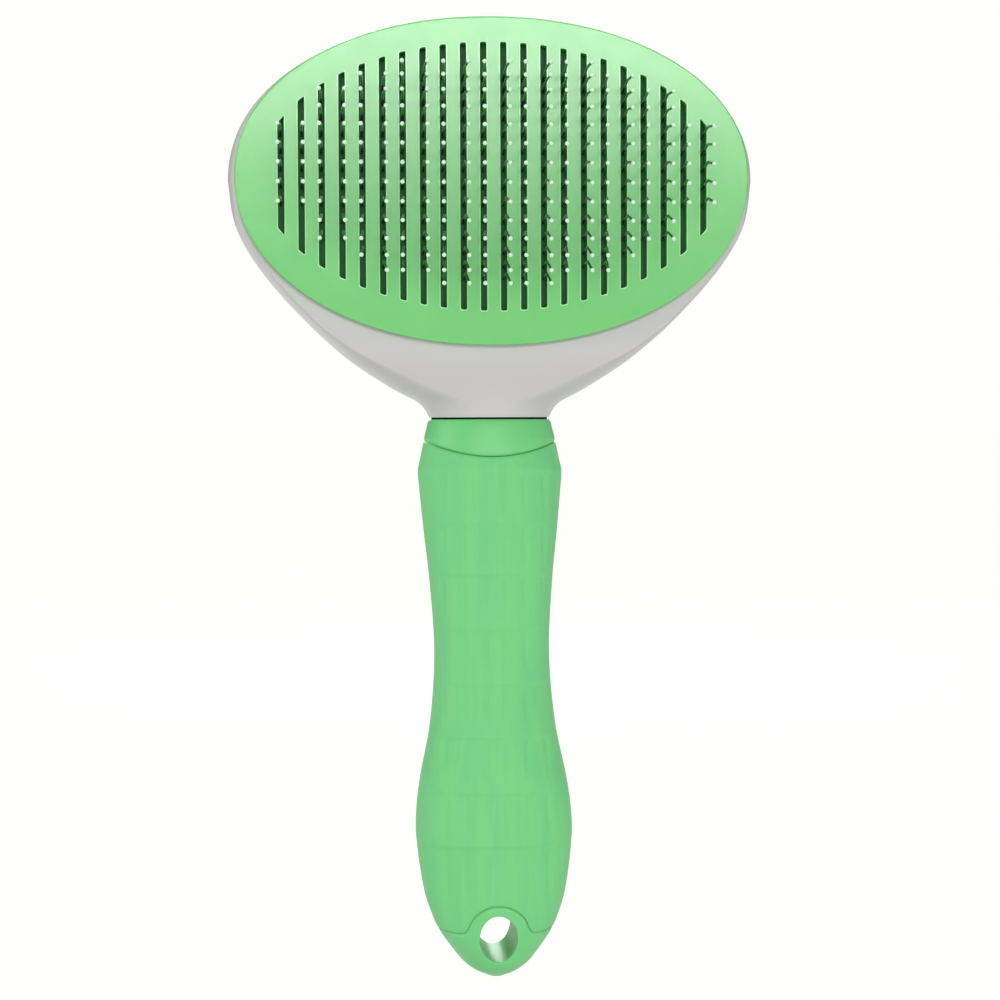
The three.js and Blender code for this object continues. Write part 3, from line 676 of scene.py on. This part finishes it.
def make_shell():
    shell = shell_skin()
    width, height = BUTTON["half_width"], BUTTON["half_height"]
    margin = BEZEL["margin"]
    layers = [(SHELL_BACK - SHELL_WALL, 0)]
    for angle in spread(0, math.pi / 2, 7):
        back = BEZEL["back"] - BEZEL["round"] * (1 - math.sin(angle))
        layers.append((back, BEZEL["round"] * (1 - math.cos(angle))))
    rings = []
    for y, inset in layers:
        grow = margin - inset
        ring = oval_ring(BUTTON_COUNT, width + grow, height + grow, BUTTON["power"])
        rings.append([(x, y, BUTTON["z"] + z) for x, z in ring])
    bezel = loft("bezel", rings)
    tang_rings = []
    for z in (TANG["low"], NECK_Z + TANG["overlap"]):
        ring = oval_ring(48, TANG["half_width"], TANG["half_depth"], TANG["power"])
        tang_rings.append([(x, y, z) for x, y in ring])
    opening = oval_prism(
        "opening",
        BUTTON["z"],
        width + BEZEL["gap"],
        height + BEZEL["gap"],
        BUTTON["power"],
        OPENING["front"],
        BEZEL["back"] + OPENING["past"],
        BUTTON_COUNT,
    )
    combine(shell, [bezel], "UNION")
    combine(shell, shell_hollow(), "DIFFERENCE")
    combine(shell, [loft("tang", tang_rings)], "UNION")
    return combine(shell, [opening], "DIFFERENCE")


# ---- Button and springs ----

def make_button():
    """A cap with a rounded crown."""
    foot = BUTTON["top"] - CROWN["height"]
    layers = [(BUTTON["low"], 0), (foot, 0)]
    for angle in spread(0, math.pi / 2, 15)[1:]:
        inset = CROWN["inset"] * (1 - math.cos(angle)) ** CROWN["power"]
        layers.append((foot + CROWN["height"] * math.sin(angle), inset))
    rings = []
    for y, inset in layers:
        width, height = BUTTON["half_width"] - inset, BUTTON["half_height"] - inset
        ring = oval_ring(BUTTON_COUNT, width, height, BUTTON["power"])
        rings.append([(x, y, BUTTON["z"] + z) for x, z in ring])
    return loft("thumb_button", rings)


def make_spring(side, name):
    """A return spring for the plate and the button, drawn at one length and fixed to the brush's
    body.
    """
    bm = bmesh.new()
    steps = 32 * SPRING["turns"]
    path = []
    for i in range(steps + 1):
        angle = 2 * math.pi * SPRING["turns"] * i / steps
        x = side * SPRING["x"] + SPRING["coil_r"] * math.cos(angle)
        y = lerp(SPRING["front"], SPRING["back"], i / steps)
        path.append(Vector((x, y, FIELD["z"] + SPRING["coil_r"] * math.sin(angle))))
    add_tube(bm, path, SPRING["wire_r"], WIRE_SIDES)
    spring = new_object(f"coil_spring_{name}", bm)
    finish_piece(spring, STEEL, "root", [f"return_spring_{name}"], 60)
    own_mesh(spring)


# ---- Handle ----

def bend_at(z):
    """How far the handle's middle line has gone forward at a height."""
    return -BEND * max(0, (CURVE_Z - z) / CURVE_Z) ** BEND_POWER


def handle_point(table, z, angle, grow):
    half_width, half_depth = sample(table, z, 1) + grow, sample(table, z, 2) + grow
    x, y = oval(half_width, half_depth, HANDLE_POWER, angle)
    return (x, bend_at(z) + y, z)


def handle_loft(name, table, heights, inset=0, count=160, extra=None):
    rings = []
    for z in heights:
        ring = []
        for i in range(count):
            angle = 2 * math.pi * i / count
            grow = -inset
            if extra is not None:
                grow += extra(z, handle_point(table, z, angle, 0)[0])
            ring.append(handle_point(table, z, angle, grow))
        rings.append(ring)
    return loft(name, rings)


def grip_relief(z, x):
    """The grip's bands overlap like shingles, each with shallow upright flutes below its top."""
    edges = [BAND_TOP, *BANDS, TAIL_TOP]
    band = next((i for i, edge in enumerate(edges) if z > edge), 0)
    if band < 1:
        return 0
    top, bottom = edges[band - 1], edges[band]
    share = (z - bottom) / (top - bottom)
    step = BAND_STEP * smoothstep(z, bottom - BAND_SOFT, bottom + BAND_SOFT)
    relief = step * (1 - smoothstep(share, 0, 1))
    if band > 1:
        across = abs((x / FLUTE["pitch"]) % 1 - 0.5) * 2
        upper = smoothstep(share, *FLUTE_FOOT) * (1 - smoothstep(share, *FLUTE_HEAD))
        relief -= FLUTE["depth"] * (1 - smoothstep(across, 0, FLUTE["width"])) * upper
    return relief * (1 - smoothstep(abs(x) / sample(HANDLE, z), *BAND_FADE))


def lip_z(x):
    """The height of the sleeve's upper lip, which dips in the middle."""
    return LIP["middle"] + min((x / LIP["half_width"]) ** 2, 1) * (LIP["sides"] - LIP["middle"])


def groove(z, x):
    """How far the handle's surface dips towards its two seams."""
    dip, step = 0, 0.1
    for seam_z in (lip_z, arch_z):
        slope = (seam_z(x + step) - seam_z(x - step)) / (2 * step)
        away = (z - seam_z(x) - SEAM_GAP / 2) / math.hypot(1, slope)
        dip += GROOVE["depth"] * math.exp(-((away / GROOVE["reach"]) ** 2))
    side = smoothstep(abs(x) / sample(HANDLE, z), GROOVE["fade_from"], 1)
    return -dip * (1 - GROOVE["fade"] * side)


def above_seam(lift):
    """Everything above the sleeve's upper lip."""
    side, top, depth = 16, 120, 20  # well past the collar
    dip = [(x, lip_z(x) + lift) for x in spread(-side, side, 81)]
    return prism("above_seam", [*dip, (side, top), (-side, top)], -depth, depth)


def arch_z(x):
    """The height of the tail's seam: an arch over the hole, with soft feet, between level ends."""
    rise, foot, end = ARCH["top"] - TAIL_TOP, ARCH["foot"], ARCH["end"]
    across = abs(x)
    if across >= end:
        return TAIL_TOP
    if across > foot:
        corner = rise * math.sqrt(1 - (foot / ARCH["half_width"]) ** 2)
        return TAIL_TOP + corner * ((end - across) / (end - foot)) ** 2
    return TAIL_TOP + rise * math.sqrt(1 - (across / ARCH["half_width"]) ** 2)


def tail_region(grow):
    """The hard tail: the end of the handle, and the arch over the hanging hole."""
    side, low, front, back = 20, -2, -40, 20  # well past the tail
    seam = [(x, arch_z(x) + grow) for x in spread(side, -side, 161)]
    return prism("tail_region", [(-side, low), (side, low), *seam], front, back)


def hole_cutter():
    """A through hole whose rims are rounded where they meet the tail's curved faces."""
    rings = []
    surface = {-1: [], 1: []}
    for end in (-1, 1):
        for angle in reversed([math.radians(a) for a in range(0, 91, 10)]):
            flare = HOLE["round"] * (1 - math.cos(angle))
            sink = HOLE["round"] * (1 - math.sin(angle))
            ring = []
            width, height = HOLE["half_width"] + flare, HOLE["half_height"] + flare
            for x, dz in oval_ring(72, width, height, 2):
                z = HOLE["z"] + dz
                across = abs(x) / sample(HANDLE, z, 1)
                inner = max(1 - across**HANDLE_POWER, 0) ** (1 / HANDLE_POWER)
                depth = sample(HANDLE, z, 2) * inner - sink
                ring.append((x, bend_at(z) + end * depth, z))
            surface[end].append(ring)
    for end, rows in surface.items():
        outermost = rows[0]
        rows.insert(0, [(x, y + end * HOLE["past"], z) for x, y, z in outermost])
    rings = surface[-1] + list(reversed(surface[1]))
    return loft("hole_cutter", rings)


def make_sleeve():
    def relief(z, x):
        return grip_relief(z, x) + groove(z, x)

    heights = [z for run in SLEEVE_RUNS for z in spread(*run)]
    skin = handle_loft("sleeve", HANDLE, heights, count=SKIN_COUNT, extra=relief)
    inside_zs = spread(heights[0] - 1, heights[-1] + 1, ROD["sections"])
    inside = handle_loft("inside", HANDLE, inside_zs, SLEEVE_WALL, ROD_COUNT)
    return combine(skin, [inside, above_seam(0), tail_region(SEAM_GAP)], "DIFFERENCE")


def make_core():
    """The hard core: the tail, the rod inside the sleeve and the collar, in one piece."""
    heights = [0, 0.2, 0.4, 0.7, 1, *spread(1.3, 7.7, 22), *spread(8, 16, 54), 18, 20, 22, 25]
    tail = handle_loft("core", HANDLE, heights, count=SKIN_COUNT, extra=groove)
    combine(tail, [tail_region(0)], "INTERSECT")
    heights = spread(COLLAR[0][0], COLLAR_TOP, 61)
    collar = handle_loft("collar", COLLAR, heights, count=SKIN_COUNT, extra=groove)
    combine(collar, [above_seam(SEAM_GAP)], "INTERSECT")
    heights = spread(ROD["low"], ROD["top"], ROD["sections"])
    rod = handle_loft("rod", HANDLE, heights, SLEEVE_WALL + ROD["gap"], ROD_COUNT)
    combine(tail, [rod, collar], "UNION")
    return combine(tail, [hole_cutter()], "DIFFERENCE")


def make_neck_shadow_ring():
    """The thin dark ring that fills the groove between the collar and the neck: a painted shadow.
    """
    heights = [COLLAR_TOP + 0.01, *spread(COLLAR_TOP + 0.05, NECK_Z - 0.05, 4), NECK_Z - 0.01]
    outer = handle_loft("neck_shadow_ring", COLLAR, heights, NECK_SHADOW_RING["inset"])
    inner = handle_loft("ring_bore", COLLAR, [COLLAR_TOP - 1, NECK_Z + 1], NECK_SHADOW_RING["bore"])
    return combine(outer, [inner], "DIFFERENCE")


# ---- Assembly ----

def build_brush():
    finish_piece(make_shell(), WHITE, "root", ["rear_shell"])
    finish_piece(make_core(), GREEN_SATIN, "root", ["handle_core"])
    # the dark ring in the neck's groove is a painted shadow
    finish_piece(make_neck_shadow_ring(), NECK_PAINTED_SHADOW, "root")
    finish_piece(make_sleeve(), GREEN_RUBBER, "root", ["grip_sleeve"], 50)
    # the pad's near-black green is painted shade inside the slots
    finish_piece(make_pin_bed(), DARK_GREEN_PAINTED_SHADE, "root", ["pin_bed"])
    plate = make_front_plate()
    # the plate's second finish is the painted highlight on the flat rings round its slots
    finish_piece(
        plate,
        GREEN_GLOSS,
        "ejector",
        ["front_plate"],
        more_materials=[GREEN_PAINTED_HIGHLIGHT],
    )
    finish_piece(make_button(), GREEN_GLOSS, "ejector", ["push_button"])
    for column in range(SLOT["count"]):
        make_pin_row(column)
        make_beads(column)
    make_spring(-1, "left")
    make_spring(1, "right")
    for name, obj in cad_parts.items():
        if not obj.hide_render:
            # the inner parts get the green painted dark as shade; the rest get steel
            inner = name in ("backing_plate", "pusher_frame")
            obj.data.materials.clear()
            obj.data.materials.append(DARK_GREEN_PAINTED_SHADE if inner else STEEL)


# ---- Stage, lights and camera ----

def build_floor():
    bpy.ops.mesh.primitive_plane_add(size=60, location=(0, 0, 0))
    floor = bpy.context.object
    floor.name = "floor"
    material, tree, shader, place = new_material("pale_floor")
    mottle = noise(tree, place, 3, 2)
    tree.links.new(
        tint(tree, mottle, (0.04, 0.04, 0.03), (0.05, 0.05, 0.04)), shader.inputs["Base Color"]
    )
    shader.inputs["Roughness"].default_value = 0.9
    shader.inputs["Specular IOR Level"].default_value = 0.0
    shader.inputs["Emission Color"].default_value = (1, 1, 0.95, 1)
    shader.inputs["Emission Strength"].default_value = 1.0
    floor.data.materials.append(material)
    floor.visible_diffuse = False


def build_world():
    """A plain backdrop to look at, and a soft light that is stronger from the front and below."""
    world = bpy.data.worlds.new("studio")
    bpy.context.scene.world = world
    world.use_nodes = True
    tree = world.node_tree
    tree.nodes.clear()
    output = tree.nodes.new("ShaderNodeOutputWorld")
    seen = node(tree, "ShaderNodeBackground", Color=(1, 1, 0.975, 1), Strength=1.0)
    lit = node(tree, "ShaderNodeBackground", Color=(1, 1, 1, 1))
    mix = tree.nodes.new("ShaderNodeMixShader")
    rays = tree.nodes.new("ShaderNodeLightPath")
    tree.links.new(rays.outputs["Is Camera Ray"], mix.inputs["Fac"])
    split = tree.nodes.new("ShaderNodeSeparateXYZ")
    direction = tree.nodes.new("ShaderNodeTexCoord").outputs["Generated"]
    tree.links.new(direction, split.inputs["Vector"])
    front_to_back = remap(tree, split.outputs["Y"], 0.42, 0.26, -1, 1)
    from_below = remap(tree, split.outputs["Z"], 1.8, 1, -1, 0.2)
    strength = tree.nodes.new("ShaderNodeMath")
    strength.operation = "MULTIPLY"
    tree.links.new(front_to_back, strength.inputs[0])
    tree.links.new(from_below, strength.inputs[1])
    tree.links.new(strength.outputs["Value"], lit.inputs["Strength"])
    tree.links.new(lit.outputs["Background"], mix.inputs[1])
    tree.links.new(seen.outputs["Background"], mix.inputs[2])
    tree.links.new(mix.outputs["Shader"], output.inputs["Surface"])


def softbox(name, place, target, width, height, power, spread_degrees=180):
    light = bpy.data.lights.new(name, "AREA")
    light.shape = "RECTANGLE"
    light.size = width
    light.size_y = height
    light.energy = power
    light.spread = math.radians(spread_degrees)
    obj = bpy.data.objects.new(name, light)
    bpy.context.scene.collection.objects.link(obj)
    obj.location = place
    obj.rotation_euler = (Vector(target) - Vector(place)).to_track_quat("-Z", "Y").to_euler()
    obj.visible_camera = False


def build_lights():
    head = (0, 0, 0.15)
    softbox("key_light", (0.045, -0.6, 0.303), head, 0.4, 0.1, 1.25)
    softbox("left_light", (-0.65, -0.16, 0.25), (0, 0, 0.1), 0.4, 0.6, 1.6)
    softbox("right_light", (0.45, -0.25, 0.02), (0, 0, 0.01), 0.3, 0.2, 0.07, 60)
    softbox("low_light", (0, -0.35, 0.03), (0, 0, 0.01), 0.3, 0.06, 0.12)
    softbox("top_light", (0, 0.02, 0.8), head, 0.6, 0.4, 1.5)
    softbox("rear_light", (0.05, 0.7, 0.42), (0, 0, 0.12), 0.4, 0.4, 4)


def build_camera():
    """The view from a little left of the front and just above the brush's middle."""
    distance, azimuth, elevation, roll = 0.4515, -4.5, 2, -0.22
    target = Vector((0.00194, 0.00175, 0.0945))
    a, e = math.radians(azimuth), math.radians(elevation)
    back = Vector((math.sin(a) * math.cos(e), -math.cos(a) * math.cos(e), math.sin(e)))
    data = bpy.data.cameras.new("camera")
    data.lens = 80
    data.sensor_width = 36
    camera = bpy.data.objects.new("camera", data)
    bpy.context.scene.collection.objects.link(camera)
    camera.rotation_mode = "QUATERNION"
    turn = (-back).to_track_quat("-Z", "Y")
    camera.rotation_quaternion = turn @ Matrix.Rotation(math.radians(roll), 3, "Z").to_quaternion()
    camera.location = target + back * distance
    data.clip_start, data.clip_end = 0.01, 30
    bpy.context.scene.camera = camera


bpy.context.scene.view_settings.view_transform = "Standard"
build_camera()
build_world()
build_floor()
build_lights()
build_brush()
